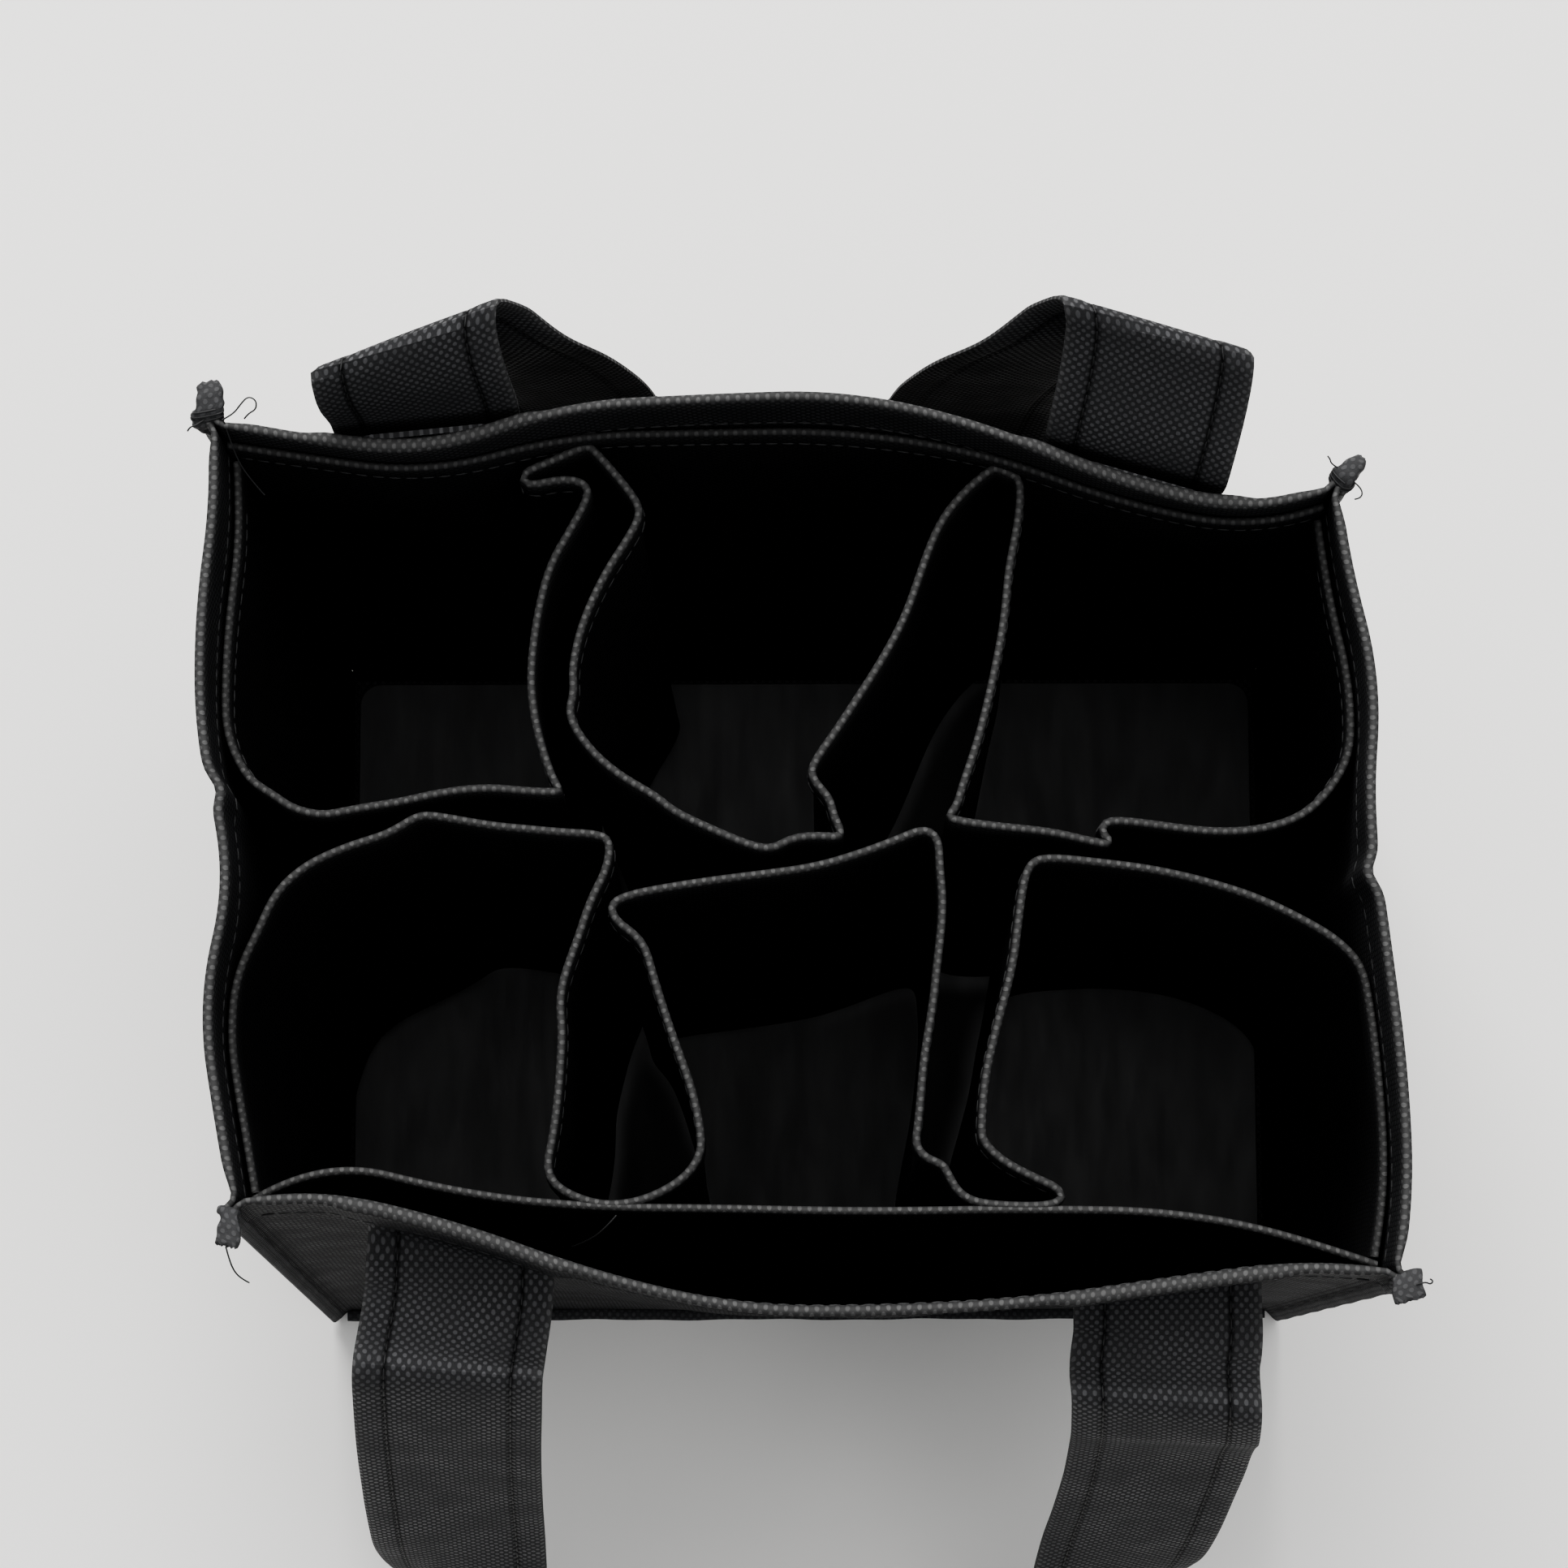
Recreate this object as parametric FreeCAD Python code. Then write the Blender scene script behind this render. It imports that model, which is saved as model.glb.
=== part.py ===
import FreeCAD
import Part
import math
import os
from FreeCAD import Vector

# Six-pocket bottle carrier sewn from embossed non-woven cloth, standing open with both handles
# flopped over. X runs along the long side, Y towards the back and Z up, in millimetres.
# The origin is the middle of the underside. Each piece of cloth is a closed solid of its own.

# Bag body
base_width = 216.0
base_depth = 152.0
rim_height = 229.0
cloth = 0.9
seam_gap = 0.35
wall_facets = 16
hem_height = 20.0
hem_ease = 0.5

# How the open mouth lies: pushed into a lozenge, shifted, and drawn in at its corners
rim_skew_x = 3.3
rim_skew_y = 6.5
rim_shift_x = -2.0
rim_shift_y = 1.5
rim_pinch = 1.5

# Outward swell of each wall at the rim, at even steps from left to right or from front to back
front_swell = (-3.5, 0.5, 8.5, 13.0, 11.5, 8.5, 3.0, -1.5)
back_swell = (-2.0, -4.0, 7.0, 10.0, 12.5, 8.0, -2.0, -3.5)
left_swell = (2.0, 5.0, -1.5, 4.0, 3.5, -0.5)
right_swell = (2.5, 2.5, 0.5, -1.0, 3.5, 0.0)

# Liners and dividers
liner_drop = 16.0
front_liner_swell = (-10.0, -5.5, -4.5, -5.5, -6.5, -8.5, -8.0, -7.0)
back_liner_swell = (-3.0, -4.0, 7.0, 8.0, 9.0, 8.0, -2.0, -5.0)
divider_lift = 12.0
facets_per_bend = 3

# Bottom stiffener
board_thickness = 2.0
board_play = 1.0

# Bound seams
binding_width = 4.0
bottom_binding_width = 2.2
binding_thickness = 2.4
ear_width = 9.0
ear_height = 14.0
ear_rise = 1.5
binding_lift = 0.4

# Handles: one strap each, caught in the hem at both ends and creased where it flops over
strap_width = 36.0
strap_thickness = 1.4
strap_facets = 2
crease_roll = 1.5
root_drop = 1.5
root_bend_radius = 2.6
root_bend_steps = 4
crease_approach = 9.0
loop_sections = 33
# Shares of a loop's drop and throat: straight leg, start and end of its narrow run, and tip of its bend;
# then the share of its length that lies flat before it turns on edge
leg_share = 0.12
narrow_share = 0.55
bend_share = 0.82
tip_share = 0.72
flat_share = 0.4
front_handle = {
    "leg_insets": (42.0, 41.0), "crease_reach": 21.0, "crease_below_rim": 15.0, "approach_angle": 25.0,
    "root_heading": 5.0, "lean": 17.0, "throat": 136.0, "drop": 205.0,
}
back_handle = {
    "leg_insets": (35.0, 46.0), "crease_reach": 19.0, "crease_below_rim": -26.0, "approach_angle": 15.0,
    "root_heading": 80.0, "lean": 4.0, "throat": 84.0, "drop": 215.0,
}

# Plan of the two divider strips at any height, as shares of the mouth: across from gusset to
# gusset, then from the front liner to the back one. Each strip makes three pockets.
back_pockets = (
    (-0.99, 0.97), (-0.99, 0.60), (-0.99, 0.20), (-0.96, 0.01), (-0.84, -0.03), (-0.70, 0.10),
    (-0.54, 0.13), (-0.40, 0.08), (-0.44, 0.26), (-0.46, 0.45), (-0.43, 0.68), (-0.36, 0.84),
    (-0.43, 1.00), (-0.33, 1.00), (-0.26, 0.86), (-0.35, 0.62), (-0.41, 0.38), (-0.37, 0.18),
    (-0.22, 0.02), (-0.07, -0.09), (0.08, -0.05), (0.05, 0.12), (0.14, 0.34), (0.22, 0.58),
    (0.29, 0.80), (0.36, 1.00), (0.46, 1.00), (0.42, 0.80), (0.38, 0.55), (0.35, 0.30),
    (0.27, 0.06), (0.38, 0.01), (0.57, 0.04), (0.75, 0.10), (0.93, 0.16), (0.99, 0.31),
    (0.99, 0.60), (0.99, 0.97),
)
front_pockets = (
    (-0.99, -0.97), (-0.99, -0.70), (-0.99, -0.40), (-0.95, -0.18), (-0.80, -0.09), (-0.67, 0.03),
    (-0.50, 0.02), (-0.34, -0.03), (-0.38, -0.24), (-0.42, -0.48), (-0.43, -0.72), (-0.48, -0.88),
    (-0.44, -1.00), (-0.34, -1.00), (-0.18, -0.90), (-0.20, -0.72), (-0.25, -0.48), (-0.36, -0.27),
    (-0.30, -0.19), (-0.10, -0.16), (0.08, -0.12), (0.25, -0.01), (0.25, -0.20), (0.23, -0.48),
    (0.17, -0.82), (0.23, -1.00), (0.34, -1.00), (0.28, -0.82), (0.32, -0.55), (0.37, -0.25),
    (0.41, -0.05), (0.58, -0.03), (0.80, -0.05), (0.97, -0.14), (0.99, -0.30), (0.99, -0.60),
    (0.99, -0.97),
)

layer_step = cloth + seam_gap
liner_inset = cloth + 2 * seam_gap
hem_channel = strap_thickness + 2 * hem_ease
hem_bottom = rim_height - hem_height
fold_height = rim_height - cloth
liner_top = rim_height - liner_drop
up = Vector(0, 0, 1)

walls = {
    "front": {"ends": ((-1, -1), (1, -1)), "out": Vector(0, -1, 0), "swell": front_swell},
    "back": {"ends": ((-1, 1), (1, 1)), "out": Vector(0, 1, 0), "swell": back_swell},
    "left": {"ends": ((-1, -1), (-1, 1)), "out": Vector(-1, 0, 0), "swell": left_swell},
    "right": {"ends": ((1, -1), (1, 1)), "out": Vector(1, 0, 0), "swell": right_swell},
    "front_liner": {"ends": ((-1, -1), (1, -1)), "out": Vector(0, -1, 0), "swell": front_liner_swell},
    "back_liner": {"ends": ((-1, 1), (1, 1)), "out": Vector(0, 1, 0), "swell": back_liner_swell},
}


def mouth_corner(side_x, side_y, height):
    """Corner of the bag at a height: square at the base, skewed and drawn in towards the rim."""
    share = height / rim_height
    x = side_x * base_width / 2 + share * (rim_shift_x - side_y * rim_skew_x)
    y = side_y * (base_depth / 2 - share * rim_pinch) + share * (rim_shift_y - side_x * rim_skew_y)
    return Vector(x, y, height)


def spline(poles):
    """Quadratic spline that starts and ends on its first and last pole."""
    curve = Part.BSplineCurve()
    curve.buildFromPoles(poles, False, 2)
    return curve


def wall_line(wall, height, offset, trim=0.0):
    """Line of a wall at a height, moved outwards by offset and cut back at both ends by trim."""
    start, end = (mouth_corner(sx, sy, height) for sx, sy in wall["ends"])
    along = (end - start).normalize()
    start, end = start + along * trim, end - along * trim
    swell = (0.0,) + wall["swell"] + (0.0,)
    spans = len(swell) - 2
    shares = [0.0] + [(i + 0.5) / spans for i in range(spans)] + [1.0]
    share_up = height / rim_height
    return spline([start + (end - start) * t + wall["out"] * (offset + share_up * s)
                   for t, s in zip(shares, swell)])


def facet_points(curve, count, span=(0.0, 1.0)):
    """Evenly spaced points of a curve, over all of it or over part of it."""
    return [curve.value(span[0] + (span[1] - span[0]) * i / count) for i in range(count + 1)]


def closed_strip(first, second):
    """Closed outline between two rows of points that run the same way."""
    return Part.makePolygon(first + second[::-1] + first[:1])


def wall_section(wall, height, inner, outer, trim=0.0, span=(0.0, 1.0), facets=wall_facets):
    """Outline of a sheet of cloth along a wall, between two offsets, whole or over part of its length."""
    lines = [wall_line(wall, height, offset, trim) for offset in (outer, inner)]
    return closed_strip(*(facet_points(line, facets, span) for line in lines))


def wall_sheet(wall, low, high, inner, outer, trim=0.0, span=(0.0, 1.0), facets=wall_facets):
    """Sheet of cloth along a wall between two heights."""
    sections = [wall_section(wall, z, inner, outer, trim, span, facets) for z in (low, high)]
    return Part.makeLoft(sections, True, True)


def outer_wall(wall, trim):
    """Panel or gusset with its top edge folded outwards into a hem that hangs open at its foot."""
    half = cloth / 2
    fold_inner = half + hem_channel
    sheet = wall_sheet(wall, cloth, fold_height, -half, half, trim)
    fold = wall_sheet(wall, hem_bottom, fold_height, fold_inner, fold_inner + cloth, trim)
    top = wall_sheet(wall, fold_height, rim_height, -half, fold_inner + cloth, trim)
    return sheet.fuse([fold, top])


def liner(wall):
    """Inner sheet that the dividers are sewn to, from the bottom seam to below the rim."""
    middle = -liner_inset
    trim = cloth / 2 + seam_gap
    return wall_sheet(wall, cloth, liner_top, middle - cloth / 2, middle + cloth / 2, trim)


def mouth_place(across, along, height):
    """Place inside the bag from its shares: beside the gussets and the liners at shares of one."""
    s, r = (across + 1) / 2, (along + 1) / 2
    front = wall_line(walls["front_liner"], height, -liner_inset - layer_step).value(s)
    back = wall_line(walls["back_liner"], height, -liner_inset - layer_step).value(s)
    left = wall_line(walls["left"], height, -layer_step).value(r)
    right = wall_line(walls["right"], height, -layer_step).value(r)
    return Vector(left.x + (right.x - left.x) * s, front.y + (back.y - front.y) * r, height)


def beside(points, distance):
    """Points of a line moved sideways by distance, mitred where it turns."""
    sides = [(b - a).normalize().cross(up) for a, b in zip(points, points[1:])]
    moved = []
    for point, before, after in zip(points, sides[:1] + sides, sides + sides[-1:]):
        mitre = (before + after).normalize()
        moved.append(point + mitre * (distance / mitre.dot(after)))
    return moved


def divider(pockets):
    """Strip of cloth that bends round three pockets, from above the board to the liners' top."""
    sections = []
    for height in (cloth + board_thickness + divider_lift, liner_top):
        bends = spline([mouth_place(across, along, height) for across, along in pockets])
        line = facet_points(bends, facets_per_bend * (len(pockets) - 2))
        sections.append(closed_strip(beside(line, cloth / 2), beside(line, -cloth / 2)))
    return Part.makeLoft(sections, True, True)


def corner_binding(side_x, side_y):
    """Binding on a corner seam that stands out diagonally and ends in a wider ear at the rim."""
    out = Vector(side_x, side_y, 0).normalize()
    side = out.cross(up) * (binding_thickness / 2)
    stand_off = binding_thickness / 2 + math.sqrt(2) * seam_gap
    steps = ((cloth, binding_width), (rim_height - ear_height, binding_width),
             (rim_height + ear_rise, ear_width))
    sections = []
    for height, width in steps:
        root = mouth_corner(side_x, side_y, height) + out * stand_off
        tip = root + out * width
        sections.append(Part.makePolygon([root - side, tip - side, tip + side, root + side, root - side]))
    return Part.makeLoft(sections, True, True)


def bottom_binding(wall):
    """Binding along one bottom seam, standing out level just above the underside."""
    start, end = (mouth_corner(sx, sy, 0) for sx, sy in wall["ends"])
    inner = wall["out"] * (cloth / 2 + seam_gap)
    outer = inner + wall["out"] * bottom_binding_width
    outline = Part.makePolygon([start + inner, start + outer, end + outer, end + inner, start + inner])
    outline.translate(up * binding_lift)
    return Part.Face(outline).extrude(up * binding_thickness)


def bottom_panel():
    """Flat bottom under the walls, flush with their outer faces."""
    length, depth = base_width + cloth, base_depth + cloth
    return Part.makeBox(length, depth, cloth, Vector(-length / 2, -depth / 2, 0))


def base_board():
    """Loose stiff board on the bottom, inside the liners and the gussets."""
    length = base_width - 2 * (cloth / 2 + board_play)
    depth = base_depth - 2 * (liner_inset + cloth / 2 + board_play)
    return Part.makeBox(length, depth, board_thickness, Vector(-length / 2, -depth / 2, cloth))


def flat_section(middle, across, normal, facets=1):
    """Strap section: a thin rectangle round a point, along across and thin along normal."""
    half = normal * (strap_thickness / 2)
    line = [middle + across * (2 * i / facets - 1) for i in range(facets + 1)]
    return closed_strip([point + half for point in line], [point - half for point in line])


def flat_face(*corners):
    """Plane face between its corners."""
    return Part.Face(Part.makePolygon([*corners, corners[0]]))


def faceted_band(sections):
    """Solid band of flat facets through a run of four-cornered sections, closed at both ends."""
    faces = [flat_face(*sections[0]), flat_face(*sections[-1])]
    for near, far in zip(sections, sections[1:]):
        for i in range(4):
            j = (i + 1) % 4
            faces += [flat_face(near[i], near[j], far[j]), flat_face(near[i], far[j], far[i])]
    shell = Part.makeShell(faces)
    shell.sewShape()
    return Part.makeSolid(shell)


def leg_centres(handle):
    """Middle of each strap leg across the bag, set in from its two sides."""
    left, right = handle["leg_insets"]
    return left - base_width / 2, base_width / 2 - right


def crease_spot(wall, handle):
    """Middle of a handle's crease line, outside the bag's side and below its rim."""
    reach = base_depth / 2 + handle["crease_reach"]
    return wall["out"] * reach + up * (rim_height - handle["crease_below_rim"])


def strap_end(wall, handle, centre):
    """End of a strap: caught in the hem, out under its lower edge and up to the crease."""
    out = wall["out"]
    inner = cloth / 2 + hem_ease
    outer = inner + strap_thickness
    start, end = (mouth_corner(sx, sy, hem_bottom) for sx, sy in wall["ends"])
    span = [(centre + side * strap_width / 2 - start.x) / (end.x - start.x) for side in (-1, 1)]
    caught = wall_sheet(wall, hem_bottom, fold_height - seam_gap, inner, outer, 0.0, span, strap_facets)

    line = wall_line(wall, hem_bottom, (inner + outer) / 2)
    near, far = line.value(span[0]), line.value(span[1])
    tilt = (far - near) / 2
    level = Vector(strap_width / 2, 0, 0)
    bend_out = ((near + far) / 2).dot(out) + root_bend_radius
    bend_height = hem_bottom - root_drop
    sections = [wall_section(wall, hem_bottom, inner, outer, 0.0, span, strap_facets)]
    for i in range(root_bend_steps):
        heading = math.radians(-90 + (handle["root_heading"] + 90) * i / (root_bend_steps - 1))
        reach = bend_out + root_bend_radius * math.sin(heading)
        height = bend_height - root_bend_radius * math.cos(heading)
        middle = Vector(centre, 0, height) + out * reach
        facing = up * math.cos(heading) - out * math.sin(heading)
        sections.append(flat_section(middle, tilt, facing, strap_facets))
    crease = crease_spot(wall, handle) + Vector(centre, 0, 0)
    angle = math.radians(handle["approach_angle"])
    rise = out * math.sin(angle) + up * math.cos(angle)
    rise_normal = up * math.sin(angle) - out * math.cos(angle)
    for back_off in (crease_approach, 0.0):
        sections.append(flat_section(crease - rise * back_off, level, rise_normal, strap_facets))
    bend = Part.makeLoft(sections, True, True)
    roll = Part.makeCylinder(crease_roll, strap_width, crease - level, Vector(1, 0, 0))
    return caught.fuse([bend, roll])


def strap_loop(wall, handle):
    """Free strap between the creases: down one leg, turned edge-on round the bend and up the other."""
    out = wall["out"]
    lean = math.radians(handle["lean"])
    down = out * math.sin(lean) - up * math.cos(lean)
    face = out * math.cos(lean) + up * math.sin(lean)
    clear = crease_roll + seam_gap + strap_thickness / 2
    origin = crease_spot(wall, handle) + face * clear
    left, right = leg_centres(handle)
    centre, throat, drop = (left + right) / 2, handle["throat"] / 2, handle["drop"]
    half_path = [(left, 0.0), (left, leg_share * drop), (centre - throat, narrow_share * drop),
                 (centre - throat, bend_share * drop), (centre - tip_share * throat, drop)]
    other_half = [(right, 0.0), (right, leg_share * drop)]
    other_half += [(2 * centre - x, d) for x, d in half_path[2:]]
    route = spline([origin + Vector(x, 0, 0) + down * d for x, d in half_path + other_half[::-1]])
    length = route.length()
    sections = []
    for i in range(loop_sections):
        share = i / (loop_sections - 1)
        spot = route.parameterAtDistance(share * length)
        run = route.tangent(spot)[0]
        turned = max(0.0, (1 - abs(2 * share - 1) - flat_share) / (1 - flat_share))
        turned = math.radians(90) * turned * turned * (3 - 2 * turned)
        inward = face.cross(run) if out.y > 0 else run.cross(face)
        across = inward * math.cos(turned) + face * math.sin(turned)
        wide, thick = across * (strap_width / 2), across.cross(run) * (strap_thickness / 2)
        middle = route.value(spot)
        sections.append([middle - wide + thick, middle + wide + thick, middle + wide - thick, middle - wide - thick])
    print("free loop of strap", round(length, 1))
    return faceted_band(sections)


def build():
    parts = {
        "front_panel": outer_wall(walls["front"], 0.0),
        "back_panel": outer_wall(walls["back"], 0.0),
        "left_gusset": outer_wall(walls["left"], layer_step),
        "right_gusset": outer_wall(walls["right"], layer_step),
        "bottom_panel": bottom_panel(),
        "base_board": base_board(),
        "front_liner": liner(walls["front_liner"]),
        "back_liner": liner(walls["back_liner"]),
        "front_divider": divider(front_pockets),
        "back_divider": divider(back_pockets),
    }
    for end, side_y in (("front", -1), ("back", 1)):
        for side, side_x in (("left", -1), ("right", 1)):
            parts[f"{end}_{side}_corner_binding"] = corner_binding(side_x, side_y)
    for side in ("front", "back", "left", "right"):
        parts[f"{side}_bottom_binding"] = bottom_binding(walls[side])
    for side, handle in (("front", front_handle), ("back", back_handle)):
        for end, centre in zip(("left", "right"), leg_centres(handle)):
            parts[f"{side}_handle_{end}_end"] = strap_end(walls[side], handle, centre)
        parts[f"{side}_handle_loop"] = strap_loop(walls[side], handle)
    return parts


os.makedirs("parts", exist_ok=True)
for name, shape in build().items():
    print(name, shape.isValid(), len(shape.Solids), round(shape.Volume, 1))
    shape.exportStep(f"parts/{name}.step")
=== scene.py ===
import math
import bpy
import numpy as np
from mathutils import Matrix, Vector


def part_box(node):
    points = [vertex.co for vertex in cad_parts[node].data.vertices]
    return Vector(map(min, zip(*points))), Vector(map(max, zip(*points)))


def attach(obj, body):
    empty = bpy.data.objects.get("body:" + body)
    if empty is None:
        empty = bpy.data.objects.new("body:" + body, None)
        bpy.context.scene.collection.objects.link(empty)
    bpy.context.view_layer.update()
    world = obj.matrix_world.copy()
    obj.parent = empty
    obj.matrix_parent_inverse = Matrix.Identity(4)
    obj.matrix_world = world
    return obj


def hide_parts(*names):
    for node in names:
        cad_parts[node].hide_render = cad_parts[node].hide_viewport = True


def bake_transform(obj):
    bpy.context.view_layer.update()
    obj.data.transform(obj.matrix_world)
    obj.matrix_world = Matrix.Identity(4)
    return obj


# Soft bottle carrier: every sheet of cloth is a numpy grid, in millimetres until it becomes a mesh.
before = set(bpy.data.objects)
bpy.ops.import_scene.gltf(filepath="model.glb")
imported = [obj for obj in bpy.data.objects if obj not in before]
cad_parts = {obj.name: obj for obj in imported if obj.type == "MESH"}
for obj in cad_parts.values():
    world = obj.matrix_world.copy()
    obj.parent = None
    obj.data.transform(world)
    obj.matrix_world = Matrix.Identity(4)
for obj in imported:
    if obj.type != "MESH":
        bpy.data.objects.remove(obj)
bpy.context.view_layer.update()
mm = 0.001
print("frame loaded")

bag = {
    "width": 216, "depth": 152, "rim": 229, "hem": 20,
    "skewX": 3.3, "skewY": 6.5, "shiftX": -2, "shiftY": 1.5, "pinch": 1.5,
    "cloth": 0.6, "linerTop": 213, "linerInset": 1.8, "dividerStep": 1, "gussetStep": 0.75,
    "drawn": {(-1, -1): (0, 1.2), (1, -1): (-1.2, 0.7), (-1, 1): (0, 0), (1, 1): (-3, 0)},
    "taut": 0.4, "calmEnds": 0.12, "foldWidth": 0.09, "notchDepth": 1.6, "notchWidth": 0.02, "notchFrom": 0.5,
}
# outward swell of each wall at the rim, and its slow waves lower down: (along, up, phase, size)
walls = {
    "front": {
        "ends": ((-1, -1), (1, -1)), "out": (0, -1, 0), "swell": (-3.3, 1.2, 9.5, 14, 12.4, 9.3, 3.7, -1.3),
        "waves": ((1, 0.3, 2.6, 1.6), (2.2, -0.6, 0.4, 1.1), (3.7, 0.9, 1.9, 0.5))},
    "back": {
        "ends": ((-1, 1), (1, 1)), "out": (0, 1, 0), "swell": (-2, -4, 7, 10, 12.5, 8, -2.2, -6.3),
        "waves": ((1.2, -0.2, 0.9, 1.5), (2.4, 0.7, 2.2, 1), (3.9, -0.8, 0.3, 0.5))},
    "left": {
        "ends": ((-1, -1), (-1, 1)), "out": (-1, 0, 0), "swell": (2, 5, -1.5, 4, 3.5, -0.5),
        "fold": 3, "notch": 0.525, "waves": ((1.1, 0.4, 1.3, 1), (2.3, -0.5, 0.2, 0.6))},
    "right": {
        "ends": ((1, -1), (1, 1)), "out": (1, 0, 0), "swell": (3.1, 4, 2.7, 1.2, 5, 0.4),
        "fold": 3, "notch": 0.504, "waves": ((0.9, -0.4, 2.3, 1), (2.1, 0.6, 1.4, 0.6))},
}
walls["frontLiner"] = dict(walls["front"], swell=(-9.8, -4.8, -3.4, -4.5, -5.6, -7.7, -8.8, -4.2))
walls["backLiner"] = dict(walls["back"], swell=(-2, -4, 7, 9.6, 12, 8, -2.2, -6.4))


# Quadratic spline on even knots from its first pole to its last: three neighbouring poles are mixed
# twice, over two knot spans and then over one.
def clampedSpline(poles, t):
    poles = np.asarray(poles, float)
    spans = len(poles) - 2
    x = np.clip(np.asarray(t, float), 0, 1) * spans
    i = np.minimum(x.astype(int), spans - 1)
    knots = np.clip(np.arange(-2, spans + 3), 0, spans)

    def mix(a, b, share):
        return a + (b - a) * (share[..., None] if poles.ndim > 1 else share)

    early = mix(poles[i], poles[i + 1], (x - knots[i + 1]) / (knots[i + 3] - knots[i + 1]))
    late = mix(poles[i + 1], poles[i + 2], (x - knots[i + 2]) / (knots[i + 4] - knots[i + 2]))
    return mix(early, late, x - i)


# Smooth step from 0 at low to 1 at high.
def ease(x, low, high):
    t = np.clip((np.asarray(x, float) - low) / (high - low), 0, 1)
    return t * t * (3 - 2 * t)


# Running length of a line of points: the sum of its steps so far.
def runLength(points):
    return np.r_[0, np.cumsum(np.linalg.norm(np.diff(points, axis=0), axis=1))]


# Every column of a line at the given spots of its running length, by interpolation.
def atLengths(points, length, spots):
    return np.stack([np.interp(spots, length, points[:, k]) for k in range(points.shape[1])], 1)


# The same line at even steps of its running length.
def evenSteps(points, count):
    length = runLength(points[:, :3])
    return atLengths(points, length, np.linspace(0, length[-1], count))


# Even steps along the spline of the given poles, by way of a finer line.
def splineSteps(poles, fine, count):
    return evenSteps(clampedSpline(poles, np.linspace(0, 1, fine)), count)


# Vectors along the last axis, each divided by its own length.
def unit(vectors):
    return vectors / np.maximum(np.linalg.norm(vectors, axis=-1, keepdims=True), 1e-9)


# Angles of a ring of points, evenly round the circle.
def ringTurn(count):
    return np.arange(count) / count * 2 * np.pi


# Cosine and sine of a ring's angles, to a power below one that fills the section's corners.
def softSection(turn, power=0.7):
    return [np.sign(f(turn)) * np.abs(f(turn)) ** power for f in (np.cos, np.sin)]


# Corner of the bag at a height: square at the base, and skewed, shifted and drawn in towards the rim.
def corner(sideX, sideY, height):
    share = height / bag["rim"]
    drawnX, drawnY = bag["drawn"][sideX, sideY]
    x = sideX * bag["width"] / 2 + share * (bag["shiftX"] - sideY * bag["skewX"] + drawnX)
    y = (sideY * (bag["depth"] / 2 - share * bag["pinch"])
         + share * (bag["shiftY"] - sideX * bag["skewY"] + drawnY))
    return np.stack([x, y, height + 0 * x], -1)


# Point of a wall: the chord between its corners at that height, pushed out by the offset, a swell that
# grows with height and slow waves, and drawn in by a gusset's centre fold and the notch it leaves in the
# rim. Waves and fold die out at the base and the rim.
def wallPoint(name, s, height, offset):
    wall = walls[name]
    s, height, offset = np.broadcast_arrays(*(np.asarray(v, float) for v in (s, height, offset)))
    start, end = (corner(*side, height) for side in wall["ends"])
    share = height / bag["rim"]
    slack = np.sin(np.pi * np.clip(share, 0, 1)) * (1 - bag["taut"] * share)
    waves = sum(size * np.cos(2 * np.pi * (along * s + up * share) + phase)
                for along, up, phase, size in wall["waves"])
    ends = ease(np.minimum(s, 1 - s), 0, bag["calmEnds"])
    crease = wall.get("fold", 0) * np.exp(-np.abs(s - 0.5) / bag["foldWidth"])
    push = offset + share * clampedSpline((0, *wall["swell"], 0), s) + slack * (waves * ends - crease)
    if "notch" in wall:
        notch = np.exp(-((s - wall["notch"]) / bag["notchWidth"]) ** 2)
        push = push - bag["notchDepth"] * ease(share, bag["notchFrom"], 1) * notch
    return start + (end - start) * s[..., None] + push[..., None] * np.array(wall["out"], float)


# Quads of a grid of rows by columns, joined round from the last column to the first where asked.
def gridQuads(rows, columns, closed=False):
    first = np.arange(rows - 1)[:, None] * columns
    j = np.arange(columns if closed else columns - 1)
    after = (j + 1) % columns
    quads = np.stack([first + j, first + columns + j, first + columns + after, first + after], -1)
    return quads.reshape(-1, 4)


# Unit normals of a grid, from the cross product of its two differences.
def gridNormals(grid):
    return unit(np.cross(np.gradient(grid, axis=0), np.gradient(grid, axis=1)))


# Running lengths of a grid: along its crest column, and out from the crest in each row.
def gridRun(grid, crest=0):
    across = np.cumsum(np.linalg.norm(np.diff(grid, axis=1), axis=-1), axis=1)
    v = np.pad(across, ((0, 0), (1, 0)))
    u = np.broadcast_to(runLength(grid[:, crest])[:, None], v.shape)
    return np.stack([u, v - v[:, crest:crest + 1]], -1)


# New object around the given data, linked into the scene.
def linkObject(name, data):
    item = bpy.data.objects.new(name, data)
    bpy.context.scene.collection.objects.link(item)
    return item


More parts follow.
